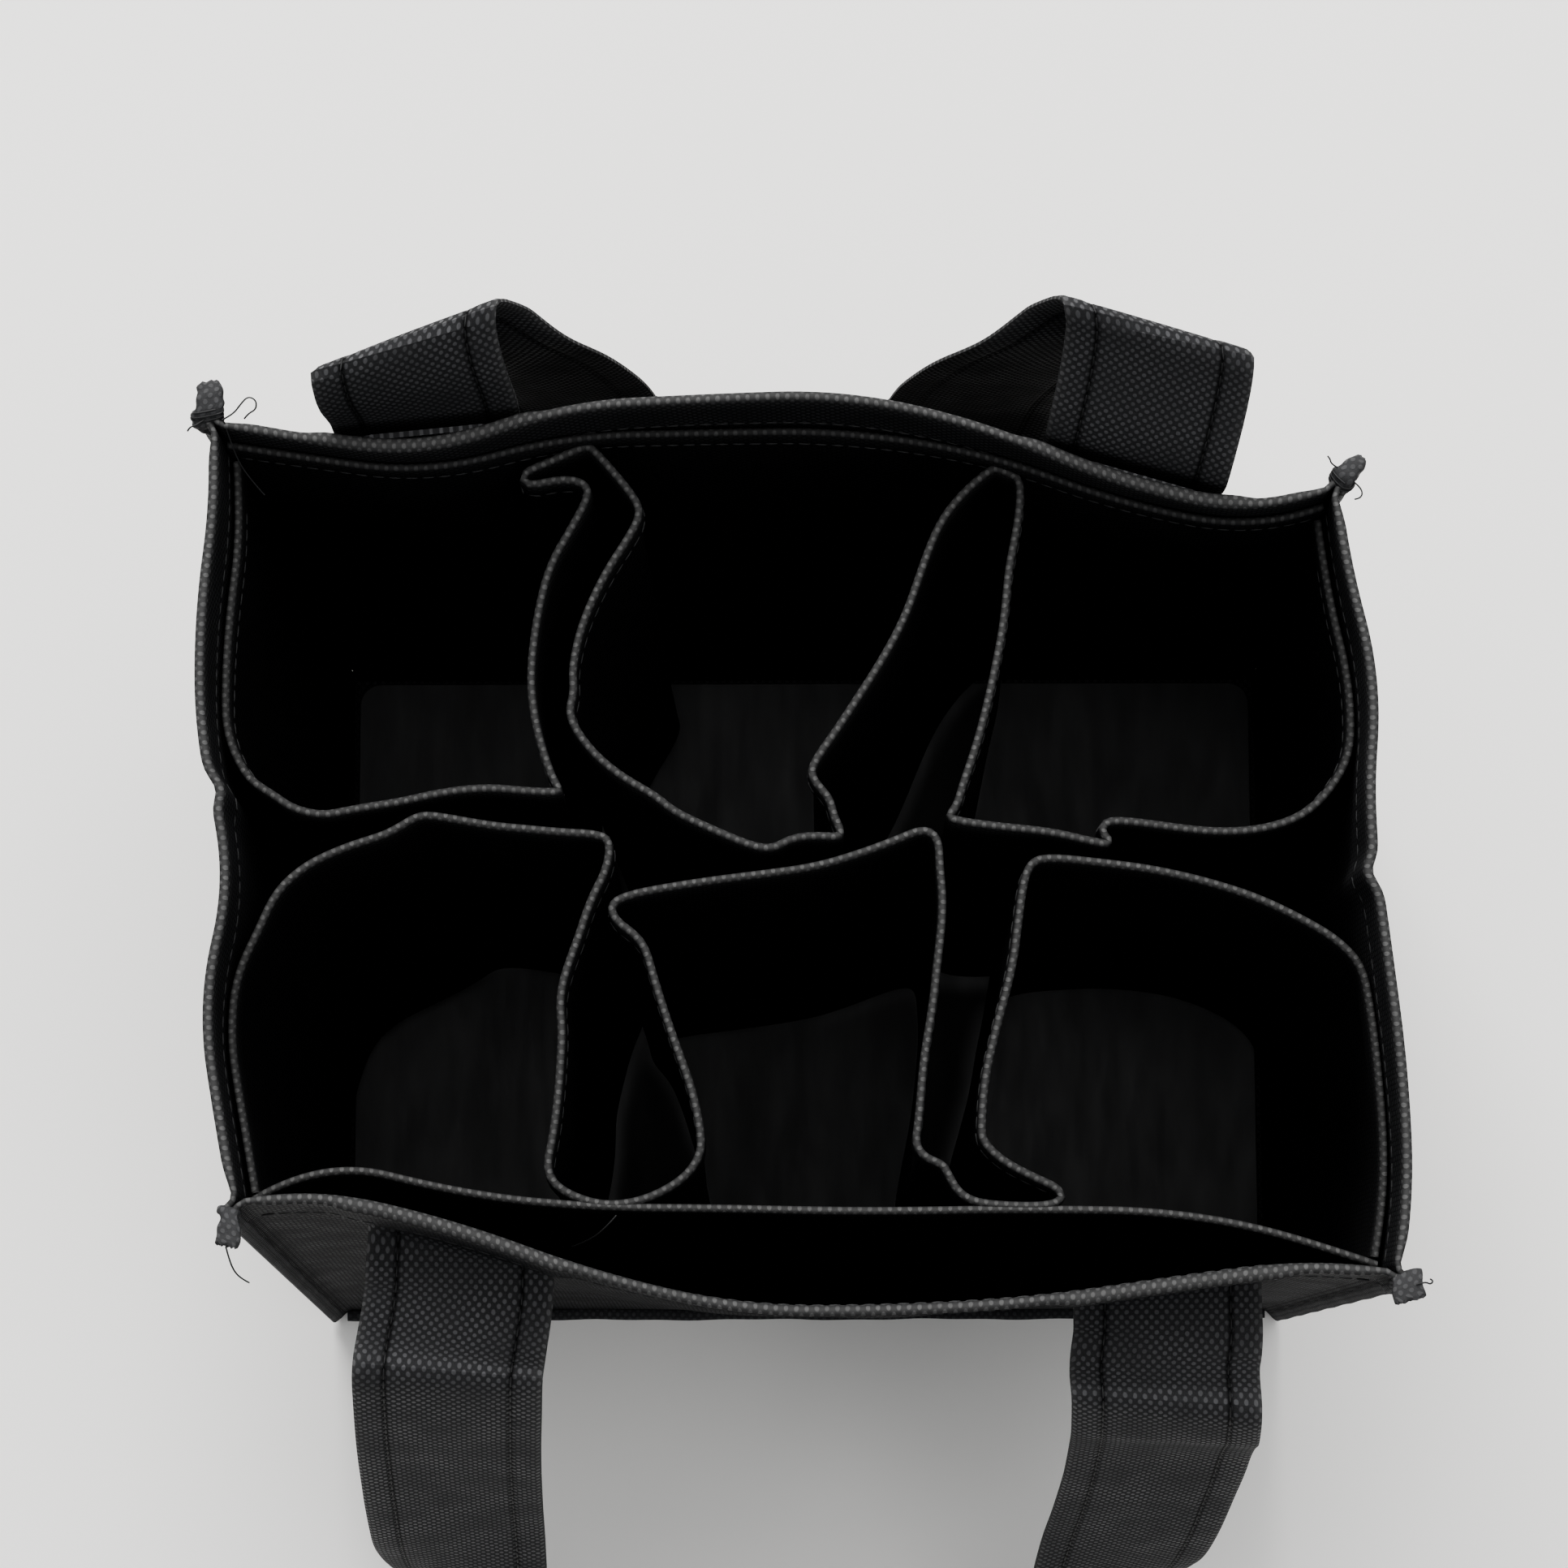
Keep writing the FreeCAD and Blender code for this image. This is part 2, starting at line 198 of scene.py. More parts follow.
# Mesh object from points and quads in millimetres, turned outwards by the sign of its volume, with its
# cloth run (per point or per quad corner) as a UV map and its wear and painted light per point.
def meshObject(name, points, quads, run, material, wearAndPaintedLight=0, sharp=35):
    a, b, c, d = (points[quads[:, k]] for k in range(4))
    if np.sum(a * np.cross(b, c)) + np.sum(a * np.cross(c, d)) < 0:
        quads, run = quads[:, ::-1], run if run.ndim == 2 else run[:, ::-1]
    mesh = bpy.data.meshes.new(name)
    mesh.vertices.add(len(points))
    mesh.vertices.foreach_set("co", (np.asarray(points, np.float32) * np.float32(mm)).ravel())
    mesh.loops.add(quads.size)
    mesh.loops.foreach_set("vertex_index", quads.astype(np.int32).ravel())
    mesh.polygons.add(len(quads))
    mesh.polygons.foreach_set("loop_start", np.arange(0, quads.size, 4, dtype=np.int32))
    mesh.update(calc_edges=True)
    layer = mesh.uv_layers.new(name="clothRun")
    laid = run[quads.ravel()] if run.ndim == 2 else run
    layer.data.foreach_set("uv", (laid * mm).astype(np.float32).ravel())
    # the fold attribute carries painted light with the wear: above zero rubbing and a painted highlight,
    # below zero painted shade
    wornAndLit = mesh.attributes.new("foldWearAndLight", "FLOAT", "POINT")
    wornAndLit.data.foreach_set("value", (np.zeros(len(points)) + wearAndPaintedLight).astype(np.float32))
    mesh.validate()
    mesh.polygons.foreach_set("use_smooth", np.ones(len(mesh.polygons), bool))
    mesh.set_sharp_from_angle(angle=math.radians(sharp))
    mesh.materials.append(material)
    return linkObject(name, mesh)


# Half the thickness of a cloth grid, along its normals.
def halfThickness(grid, thickness):
    return gridNormals(grid) * np.broadcast_to(np.asarray(thickness) / 2, grid.shape[:2])[..., None]


# Closed shell of a cloth grid: both faces half the thickness from the middle, and a strip round the edge.
# The cloth run starts at the crest column: a row of dots lies along a folded edge.
def clothShell(name, grid, thickness, material, wearAndPaintedLight=0, crest=0):
    rows, columns = grid.shape[:2]
    lift = halfThickness(grid, thickness)
    points = np.vstack([(grid + lift).reshape(-1, 3), (grid - lift).reshape(-1, 3)])
    top = gridQuads(rows, columns)
    index = np.arange(rows * columns).reshape(rows, columns)
    edge = np.r_[index[:, 0], index[-1, 1:], index[-2::-1, -1], index[0, -2:0:-1]]
    after, under = np.roll(edge, -1), rows * columns
    rim = np.stack([edge + under, after + under, after, edge], 1)
    run = np.tile(gridRun(grid, crest).reshape(-1, 2), (2, 1))
    wornAndLit = np.tile(np.broadcast_to(wearAndPaintedLight, (rows, columns)).ravel(), 2)
    return meshObject(name, points, np.vstack([top, top[:, ::-1] + under, rim]), run, material, wornAndLit)


# Closed tube from a ring of points at each station, with a fan to the ring's middle at both ends.
def ringTube(name, rings, material, wearAndPaintedLight=0, sharp=50):
    stations, around = rings.shape[:2]
    points = np.vstack([rings.reshape(-1, 3), rings[0].mean(0), rings[-1].mean(0)])
    quads = [gridQuads(stations, around, True)]
    j = np.arange(0, around, 2)
    for base, hub, order in ((0, len(points) - 2, 1), ((stations - 1) * around, len(points) - 1, -1)):
        fan = np.stack([base + j, base + (j + 1) % around, base + (j + 2) % around, np.full_like(j, hub)], 1)
        quads.append(fan[:, ::order])
    run = gridRun(np.hstack([rings, rings[:, :1]])).reshape(-1, 2)
    run = np.vstack([run[gridQuads(stations, around + 1)], np.zeros((2 * len(j), 4, 2))])
    wornAndLit = np.r_[np.broadcast_to(wearAndPaintedLight, (stations, around)).ravel(), 0, 0]
    return meshObject(name, points, np.vstack(quads), run, material, wornAndLit, sharp)


# Sews a piece to the bag, in place of the nodes named; the slot argument is not used.
def sewOn(piece, slot, *nodes):
    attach(piece, "bag")
    if nodes:
        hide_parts(*nodes)


# Low and high corner of a node's box, in millimetres.
def nodeBox(node):
    return (np.array(v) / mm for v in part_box(node))


# Gives each input of a node a constant, or a link from another node's output.
def setInputs(node, inputs):
    for key, value in dict(inputs).items():
        if isinstance(value, bpy.types.NodeSocket):
            node.id_data.links.new(value, node.inputs[key])
        else:
            node.inputs[key].default_value = value


# New shader node in a tree, with its properties and inputs: its outputs.
def addNode(tree, kind, inputs=(), **properties):
    node = tree.nodes.new("ShaderNode" + kind)
    for key, value in properties.items():
        setattr(node, key, value)
    setInputs(node, inputs)
    return node.outputs


# Result of a maths node on outputs and constants, in the first one's tree.
def maths(operation, *terms, **properties):
    return addNode(terms[0].id_data, "Math", enumerate(terms), operation=operation, **properties)[0]


# A value carried from one span to another; without a first span it runs from 0 to 1.
def mapRange(value, end, start=(0, 1), **properties):
    return addNode(value.id_data, "MapRange", enumerate((value, *start, *end)), **properties)[0]


# Two colours mixed by a share.
def mixColours(share, first, second):
    return addNode(share.id_data, "Mix", {0: share, 6: first, 7: second}, data_type="RGBA")[2]


# Value and colour of a noise at a place.
def noise(place, settings):
    return addNode(place.id_data, "TexNoise", {"Vector": place, **settings})


# Normal of a surface raised by a height.
def bumped(height, look):
    inputs = {"Height": height, "Strength": look["bump"], "Distance": look["deep"]}
    return addNode(height.id_data, "Bump", inputs)[0]


# New material with nodes: the material, its tree and its shader.
def newMaterial(name):
    material = bpy.data.materials.new(name)
    material.use_nodes = True
    return material, material.node_tree, material.node_tree.nodes["Principled BSDF"]


emboss = {
    "sway": {"Scale": 0.35, "Detail": 2}, "swayBy": (0.5, 0.5, 0), "dotEdge": 0.16,
    "patch": {"Scale": 0.09, "Detail": 3}, "patchSpan": (0.35, 0.65), "pressing": (0.55, 1),
    "fibre": {"Scale": 5.5, "Detail": 3, "Roughness": 0.65, "Distortion": 1.6}, "fibreSpan": (0.3, 0.7),
    "fuzzHeight": 0.22,
}
# rubbed is the folds' paler colour, rubbing with a painted highlight on their tops; seam is painted shade in
# the sewn grooves; dot is lighter than the fibres, partly a painted sheen
clothLook = {
    "fibre": (0.009, 0.009, 0.0094, 1), "fuzz": (0.019, 0.019, 0.0198, 1), "dot": (0.042, 0.042, 0.0437, 1),
    "rubbedAndLit": (0.105, 0.104, 0.102, 1), "seam": (0.0015, 0.0015, 0.0016, 1),
    "wearAndPaintedLight": (0.36, 0.82), "roughFibre": 0.82, "roughDot": 0.46, "specular": 0.08,
    "dotAcross": 1.9, "dotAlong": 2.1, "dotSize": 0.24, "bump": 0.75, "deep": 0.00016,
}


# Shared emboss of the bonded cloth: staggered round dots where both diagonal coordinates of the cloth run
# lie near a half, fine fibre fuzz between them, and slow patches of heavier and lighter pressing.
def embossGroup():
    tree = bpy.data.node_groups.new("embossedDots", "ShaderNodeTree")
    for label in ("Across", "Along", "Size"):
        socket = tree.interface.new_socket(label, in_out="INPUT", socket_type="NodeSocketFloat")
        socket.default_value = clothLook["dot" + label]
    for label in ("Dots", "Fuzz", "Height"):
        tree.interface.new_socket(label, in_out="OUTPUT", socket_type="NodeSocketFloat")
    given = tree.nodes.new("NodeGroupInput").outputs
    run = addNode(tree, "UVMap", uv_map="clothRun")[0]
    scaled = addNode(tree, "VectorMath", {0: run, 3: 1 / mm}, operation="SCALE")[0]
    swayed = addNode(tree, "VectorMath", operation="MULTIPLY_ADD", inputs={
        0: noise(scaled, emboss["sway"])[1], 1: emboss["swayBy"], 2: scaled})[0]
    split = addNode(tree, "SeparateXYZ", {0: swayed})
    u, v = maths("DIVIDE", split[0], given["Across"]), maths("DIVIDE", split[1], given["Along"])
    away = []
    for sign in ("ADD", "SUBTRACT"):
        part = maths("FRACT", maths(sign, u, v))
        away.append(maths("ABSOLUTE", maths("SUBTRACT", part, 0.5)))
    both = addNode(tree, "CombineXYZ", enumerate(away))[0]
    far = addNode(tree, "VectorMath", {0: both}, operation="LENGTH")[1]
    edge = maths("ADD", given["Size"], emboss["dotEdge"]), given["Size"]
    dots = mapRange(far, (0, 1), edge, interpolation_type="SMOOTHSTEP")
    patch = noise(scaled, emboss["patch"])[0]
    pressed = maths("MULTIPLY", dots, mapRange(patch, emboss["pressing"], emboss["patchSpan"]))
    fuzz = mapRange(noise(swayed, emboss["fibre"])[0], (0, 1), emboss["fibreSpan"])
    height = maths("MULTIPLY_ADD", fuzz, emboss["fuzzHeight"], pressed)
    setInputs(tree.nodes.new("NodeGroupOutput"), {"Dots": pressed, "Fuzz": fuzz, "Height": height})
    return tree


embossedDots = embossGroup()


# Bonded cloth: dark fibres, smoother pressed dots painted greyer as a partly painted sheen, folds rubbed
# paler with a painted highlight where the fold attribute is above zero, and painted shade in the sewn grooves
# where it is below.
def clothMaterial(name, **changes):
    look = dict(clothLook, **changes)
    material, tree, shader = newMaterial(name)
    dots, fuzz, height = addNode(tree, "Group", node_tree=embossedDots, inputs={
        label: look["dot" + label] for label in ("Across", "Along", "Size")})
    wearAndPaintedLight = addNode(tree, "Attribute", attribute_name="foldWearAndLight")["Fac"]
    # pressed dots mixed to a lighter colour: partly a painted sheen of their gloss
    dotted = mixColours(dots, mixColours(fuzz, look["fibre"], look["fuzz"]), look["dot"])
    # paler fold colour: rubbing with a painted highlight where the fold's top catches the light
    tint = mixColours(maths("MULTIPLY", wearAndPaintedLight, mapRange(dots, look["wearAndPaintedLight"])), dotted, look["rubbedAndLit"])
    # painted shade: the sewn grooves darkened where the fold attribute is below zero
    grooveShadeShare = maths("MULTIPLY", wearAndPaintedLight, -1, use_clamp=True)
    setInputs(shader, {
        "Base Color": mixColours(grooveShadeShare, tint, look["seam"]), "Normal": bumped(height, look),
        "Roughness": mapRange(dots, (look["roughFibre"], look["roughDot"])),
        "Specular IOR Level": look["specular"]})
    return material


# Plain dark material with a fine bump from a stretched noise on the object's own coordinates.
def grainMaterial(name, look):
    material, tree, shader = newMaterial(name)
    place = addNode(tree, "TexCoord")["Object"]
    turned = addNode(tree, "Mapping", {"Vector": place, "Scale": look["stretch"]})[0]
    grain = noise(turned, {"Scale": look["scale"], "Detail": 4, "Roughness": 0.6})[0]
    setInputs(shader, {"Base Color": mixColours(grain, look["dark"], look["light"]),
                       "Roughness": mapRange(grain, look["rough"]), "Normal": bumped(grain, look)})
    return material


panelCloth = clothMaterial("panelCloth")
# lining is a darker copy of the cloth: painted shade for the dim inside of the bag
shadedLiningCloth = clothMaterial(
    "shadedLiningCloth", fibre=(0.005, 0.005, 0.0053, 1), fuzz=(0.011, 0.011, 0.0115, 1),
    dot=(0.016, 0.016, 0.0168, 1))
strapCloth = clothMaterial(
    "strapCloth", fibre=(0.014, 0.014, 0.0146, 1), fuzz=(0.034, 0.034, 0.0354, 1),
    dot=(0.074, 0.074, 0.077, 1), roughDot=0.4, dotAcross=2.1, dotAlong=1.9)
tapeMaterial = clothMaterial(
    "bindingTape", fibre=(0.022, 0.022, 0.0228, 1), fuzz=(0.044, 0.044, 0.0457, 1),
    dot=(0.06, 0.06, 0.0622, 1), roughDot=0.4, roughFibre=0.7)
threadMaterial = grainMaterial("sewingThread", {
    "dark": (0.003, 0.003, 0.0032, 1), "light": (0.011, 0.011, 0.0115, 1), "scale": 2600,
    "stretch": (1, 1, 1), "rough": (0.74, 0.5), "bump": 0.4, "deep": 0.0003})
boardMaterial = grainMaterial("baseBoardFace", {
    "dark": (0.01, 0.01, 0.0105, 1), "light": (0.022, 0.022, 0.023, 1), "scale": 220,
    "stretch": (1, 0.25, 1), "rough": (0.72, 0.48), "bump": 0.25, "deep": 0.0003})
print("materials ready")

handles = {
    "front": {"legs": (-67, 68), "creaseOut": 97, "creaseHeight": 214, "lean": 17},
    "back": {"legs": (-73.5, 62.5), "creaseOut": 95, "creaseHeight": 255, "lean": 4},
}
# flankWearAndLight and wearAndLightReach: the fold's rubbing with a painted highlight on its flanks, and how
# far below it reaches
hemFold = {
    "pressed": 0.7, "opened": 1.15, "strapHalf": 18, "easing": 6, "flankWearAndLight": 0.35, "wearAndLightReach": 5,
}


# Radius of a wall's rim fold: pressed nearly flat, and opened where a strap is caught inside the hem.
def hemRadius(name, s):
    room = 0 * s
    if name in handles:
        left, right = (corner(*side, np.float64(bag["rim"]))[0] for side in walls[name]["ends"])
        x = left + (right - left) * s
        for leg in handles[name]["legs"]:
            reach = hemFold["strapHalf"] + hemFold["easing"] - np.abs(x - leg)
            room = room + ease(reach, 0, hemFold["easing"])
    return hemFold["pressed"] + (hemFold["opened"] - hemFold["pressed"]) * np.clip(room, 0, 1)


# Heights, offsets and wear with painted highlight of a sheet that rises, turns over a fold of the given
# radius and falls as a hem.
# The wear and painted highlight are full on top of the fold, where the light catches it, less on its flanks,
# and fade out a few millimetres below it.
def foldProfile(style, top, radius):
    low, hem, flank, reach = style["foot"], style["hem"], hemFold["flankWearAndLight"], hemFold["wearAndLightReach"]
    crown = top - bag["cloth"] / 2 - radius
    up, down = np.linspace(0, 1, style["rise"]), np.linspace(0, 1, style["fall"])
    half = np.linspace(0, np.pi, style["turn"] + 2)[1:-1]
    heights = np.hstack([low + (crown - low) * up, crown + radius * np.sin(half),
                         crown - (hem + crown - top) * down])
    offsets = np.hstack([0 * radius * up, radius * (1 - np.cos(half)), 2 * radius + 0 * down])
    wearAndPaintedLight = np.hstack([flank * ease(up, 1 - reach / (top - low), 1), flank + (1 - flank) * np.sin(half) ** 3,
                      flank * ease(1 - down, 1 - reach / hem, 1)])
    return heights, offsets, wearAndPaintedLight


# Sews a folded sheet to the bag; its crest column lies half its turn after its rise.
def sewSheet(side, kind, grid, wearAndPaintedLight, style):
    crest = style["rise"] + style["turn"] // 2
    piece = clothShell(side + kind.title() + "Cloth", grid, bag["cloth"], style["material"], wearAndPaintedLight, crest)
    sewOn(piece, style["slot"], side + "_" + kind)


outerWalls = {
    "material": panelCloth, "slot": "cloth",
    "panel": {"long": bag["width"], "trim": 1.4, "along": 131},
    "gusset": {"long": bag["depth"], "trim": 1.6, "along": 97},
    "foot": 0.85, "hem": bag["hem"], "rise": 60, "turn": 11, "fall": 12, "layers": 1.03,
    "allowance": (0.7, 1.6, 2.6), "apart": 0.34, "pressOver": 8, "sag": 0.45, "sagFrom": 214,
}


# Panel or gusset: its middle surface runs up the wall, over the rim and down the outside as the hem. At
# each end the hem's layers are pressed together and turn out along the corner's diagonal.
def outerWall(name, kind):
    style, own = outerWalls, outerWalls[kind]
    trim = own["trim"] / own["long"]
    s = np.linspace(trim, 1 - trim, own["along"])[:, None]
    radius = hemRadius(name, s)
    heights, offsets, wearAndPaintedLight = foldProfile(style, bag["rim"], radius)
    flat = bag["cloth"] * style["layers"] / (2 * radius)
    offsets = offsets * (flat + (1 - flat) * ease(np.minimum(s, 1 - s) * own["long"], 0, style["pressOver"]))
    out, reach = np.array(walls[name]["out"], float), np.array(style["allowance"])[:, None]
    sewn = []
    for side, row in zip(walls[name]["ends"], (0, -1)):
        away = np.array([*side, 0]) / math.sqrt(2)
        aside = unit(out - away * (out @ away))
        level = heights[row] - style["sag"] * reach * ease(heights[row], style["sagFrom"], bag["rim"])
        sewn.append(corner(*side, level) + away * reach[..., None]
                    + aside * (style["apart"] + offsets[row])[None, :, None])
    return np.vstack([sewn[0][::-1], wallPoint(name, s, heights, offsets), sewn[1]]), wearAndPaintedLight


for side, kind in (("front", "panel"), ("back", "panel"), ("left", "gusset"), ("right", "gusset")):
    sewSheet(side, kind, *outerWall(side, kind), outerWalls)
print("outer walls sewn")

# worn scales the fold's rubbing and painted highlight; the back liner's crest lies in shade, so it gets less
liners = {
    "front": {"wornAndLit": 1, "lift": (0, 0, 0, 0)},
    "back": {"wornAndLit": 0.6, "lift": (7, 8.5, 7, 1.5, 0.5, 1.5, 6, 8, 7)},
    "trim": 0.005, "along": 121, "foot": 0.9, "radius": 0.48, "hem": 10, "rise": 50, "turn": 9, "fall": 7,
    "liftSpan": (60, 200), "material": shadedLiningCloth, "slot": "lining",
}
for side in ("front", "back"):
    s = np.linspace(liners["trim"], 1 - liners["trim"], liners["along"])[:, None]
    heights, offsets, wearAndPaintedLight = foldProfile(liners, bag["linerTop"], liners["radius"] + 0 * s)
    heights = heights + clampedSpline(liners[side]["lift"], s) * ease(heights, *liners["liftSpan"])
    grid = wallPoint(side + "Liner", s, heights, offsets - bag["linerInset"])
    sewSheet(side, "liner", grid, wearAndPaintedLight * liners[side]["wornAndLit"], liners)
print("liners sewn")


# Place inside the bag from its shares: across between the gusset lines, along between the liner lines.
def mouthPlace(across, along, height):
    s, r = (across + 1) / 2, (along + 1) / 2
    inset = -bag["linerInset"] - bag["dividerStep"]
    front, back = (wallPoint(side, s, height, inset)[..., 1] for side in ("frontLiner", "backLiner"))
    left, right = (wallPoint(side, r, height, -bag["gussetStep"])[..., 0] for side in ("left", "right"))
    return np.stack([left + (right - left) * s, front + (back - front) * r, height + 0 * s], -1)


# plan of each divider strip in hundredths of the mouth: across, then from the front liner to the back one
backRoute = (
    (-99.5, 99.8), (-99.5, 78), (-99.5, 58), (-99.5, 38), (-99.5, 24), (-97, 12), (-94, 5), (-90, 1),
    (-85, -1), (-80, 1), (-71, 6), (-62, 10), (-54, 11), (-47, 8.5), (-42, 7.5), (-41, 9), (-42, 14),
    (-44, 28), (-45, 41), (-44, 57), (-42, 70), (-38, 79), (-35, 86), (-34.5, 90), (-37, 93), (-41, 94),
    (-45, 94), (-46.5, 95.7), (-45.5, 97), (-41, 98), (-36, 99.9), (-34.7, 100.2), (-34.3, 100),
    (-31, 93.5), (-27.2, 85.5), (-26.2, 81.5), (-28.2, 76), (-33, 66), (-37, 53), (-38.5, 41),
    (-38, 35), (-39, 29), (-37, 22), (-33, 14), (-25, 4), (-17, -3), (-9, -8.5), (-5, -9.2),
    (-1.5, -6.4), (3, -5.6), (7, -6), (8.4, -4), (8, 1), (6, 6), (4.2, 10.5), (4.6, 13.5), (10, 24),
    (16, 39), (21, 53), (25, 68), (29, 81), (33.5, 90), (38.2, 97.5), (40.2, 100.2), (40.6, 100.3),
    (43.6, 99.7), (44.1, 99.3), (44.1, 96), (43.4, 90), (42, 82), (40, 72), (38, 57), (36, 43),
    (34, 26), (31, 13), (28, 4), (27.6, 1.2), (30, 0.2), (37, 0), (47, 1), (54, 0.6), (57, 0.8),
    (57.4, 3), (55.4, 4.8), (56, 7.2), (60, 8.4), (65, 9), (74, 10), (83, 13), (91, 18), (96, 25),
    (99.4, 34), (99.7, 48), (99.7, 65), (99.7, 82), (99.7, 99.8))
frontRoute = (
    (-99.7, -99.8), (-99.7, -82), (-99.7, -69), (-99.6, -56), (-99.2, -42), (-97.4, -32), (-95, -21),
    (-90, -14.5), (-83, -9.5), (-75, -4), (-71, 0), (-68.5, 3.4), (-66, 4.4), (-61, 3.6), (-52, 1),
    (-42, -2), (-36, -3), (-33.4, -5), (-34.5, -13), (-38, -22), (-40, -34), (-42, -46), (-41.4, -57),
    (-43, -71), (-45, -84), (-46.6, -92), (-46, -96), (-43, -99), (-38, -101), (-33, -100.4),
    (-28, -98), (-23, -93.6), (-20.2, -88), (-20, -82), (-21, -70), (-24, -54), (-27, -40),
    (-28.4, -34.5), (-30.5, -31), (-33.4, -28), (-35, -24.4), (-34.3, -21.2), (-31, -19.5),
    (-27, -18.4), (-18, -16.4), (-8, -14.6), (2, -12.6), (10, -9), (17, -5), (22.5, -1.6), (25, -2.2),
    (25.4, -6), (25, -11), (25, -22), (24, -35), (23, -48), (20.4, -65), (19, -79), (18.3, -84.5),
    (19.6, -87.6), (23, -89.6), (24, -92.2), (25.8, -97), (29, -99.6), (35, -100.4), (41, -100.4),
    (43.8, -99), (42.6, -96.6), (39, -94.4), (33, -90), (29.2, -84.6), (29, -80), (30, -68), (33, -53),
    (36, -38), (37.4, -24), (39, -13), (41, -7.4), (44.5, -5.2), (54, -3.8), (64, -2.6), (74, -3.2),
    (82, -5.2), (90, -10), (95.6, -15), (99.4, -22), (99.7, -34), (99.7, -52), (99.7, -75),
    (99.7, -99.8))
dividers = {
    "back": {"hemSide": 1, "route": backRoute}, "front": {"hemSide": -1, "route": frontRoute},
    "half": (106, 66), "fine": 6000, "along": 620, "calm": 15, "calmFoot": 0.55,
    "foot": 15.5, "radius": 0.5, "hem": 9, "rise": 30, "turn": 9, "fall": 7,
    "material": shadedLiningCloth, "slot": "lining",
}


# Divider strip: its plan line, calmer towards the foot by a running mean, lifted over the strip's height,
# with the top edge folded sideways to the pockets.
def dividerStrip(name):
    plan, d = dividers[name], dividers
    scale = np.array(d["half"]) / 100
    line = splineSteps(np.array(plan["route"]) * scale, d["fine"], d["along"]) / scale / 100
    kernel = np.hanning(2 * d["calm"] + 3)[1:-1]
    padded = np.pad(line, ((d["calm"], d["calm"]), (0, 0)), "edge")
    calm = np.stack([np.convolve(padded[:, k], kernel / kernel.sum(), "valid") for k in (0, 1)], 1)
    heights, offsets, wearAndPaintedLight = foldProfile(d, bag["linerTop"], np.full((1, 1), d["radius"]))
    detail = d["calmFoot"] + (1 - d["calmFoot"]) * ease(heights, d["foot"], bag["linerTop"])
    across, along = (calm[:, k, None] + (line - calm)[:, k, None] * detail for k in (0, 1))
    points = mouthPlace(across, along, heights + 0 * across)
    run = np.gradient(points, axis=0)
    sideways = unit(np.stack([-run[..., 1], run[..., 0]], -1))
    points[..., :2] += sideways * (plan["hemSide"] * offsets)[..., None]
    return points, wearAndPaintedLight


dividerGrids = {}
for side in ("front", "back"):
    dividerGrids[side], wearAndPaintedLight = dividerStrip(side)
    sewSheet(side, "divider", dividerGrids[side], wearAndPaintedLight, dividers)
print("dividers sewn")

# straps: a root has heights and offsets from the wall, a crease its two middles and half widths, a loop its
# places across and down, and a wave its size, its counts along and across and its share of the phase
halfAcross = (0.2, 0.4, 0.57, 0.62, 0.667, 0.71, 0.76, 0.86, 0.95, 0.985, 1)
straps = {
    "width": 36, "thick": 1.1, "along": 420, "throughCrease": 45, "pastCrease": 3,
    "loopSteps": 60, "loopTrim": 2, "loopOff": 2.5, "loopFine": 2000, "fine": 8000,
    "across": (*(-v for v in halfAcross[::-1]), 0, *halfAcross),
    "middleColumn": 11, "sewnColumns": ((6, 1), (6, -1), (16, 1), (16, -1)), "sewnTrim": 6,
    # crestWearAndLight: rubbing with a painted highlight on the strap's thin rims; the groove gets painted
    # shade
    "grooveAt": 0.667, "grooveWide": 0.03, "grooveDeep": 0.45, "crestAt": 0.985, "crestWide": 0.06,
    "crestWearAndLight": 0.6, "edgeThick": 0.28, "edgeSpan": (0.69, 0.75), "rimThin": 0.55, "rimSpan": (0.94, 1),
    "waves": ((0.25, 6, 0.35, 1), (0.07, 19, -0.5, 3)), "freeSpan": (0.09, 0.17),
    "curl": 0.4, "curlFlat": 0.4, "curls": 4,
    "front": {
        "root": ((226.5, 1.15), (219, 1.15), (211, 1.15), (206.5, 1.15), (204.2, 2.4), (203.6, 6),
                 (204.4, 11)),
        "approach": ((-68.2, -91.5, 207.5), (66.8, -96, 206.5)),
        "crease": ((-68.5, -97, 215.5), (66.8, -103, 214.5)),
        "slant": ((17.5, -1, 0), (17.5, -2, 0)), "turnFrom": (0.36, 0.37), "phase": 0.7,
        "loop": ((-68.5, 0), (-70.5, 30), (-73, 100), (-74, 168), (-48, 205),
                 (46, 205), (61, 168), (66.6, 103), (69.2, 32), (67, 0))},
    "back": {
        "root": ((226.5, 1.15), (219, 1.15), (211, 1.15), (206, 1.15), (203.8, 3), (206, 5),
                 (213, 4.9), (222, 4.2), (231, 4.4)),
        "approach": ((-75.2, 87, 244.5), (65.2, 87.6, 246.5)),
        "crease": ((-76, 93.5, 255.5), (65.3, 94.7, 258)),
        "slant": ((16.6, 6.8, 1.5), (18.4, -5.4, -1.5)), "turnFrom": (0.42, 0.42), "phase": 2.1,
        "loop": ((-75, 0), (-69, 20), (-53, 62), (-46, 118), (-46, 176), (-34, 215),
                 (22, 215), (33, 176), (33, 118), (39.5, 62), (58, 20), (64, 0))},
}


# Frames of a strap's caught end: middles and half widths between the two edge lines on the wall.
def rootFrames(side, leg):
    half = straps["width"] / 2
    heights, offsets = np.array(straps[side]["root"], float).T
    left, right = (corner(*end, heights)[:, 0] for end in walls[side]["ends"])
    edges = [wallPoint(side, (leg + sign * half - left) / (right - left), heights, offsets)
             for sign in (-1, 1)]
    return np.hstack([(edges[0] + edges[1]) / 2, (edges[1] - edges[0]) / 2])


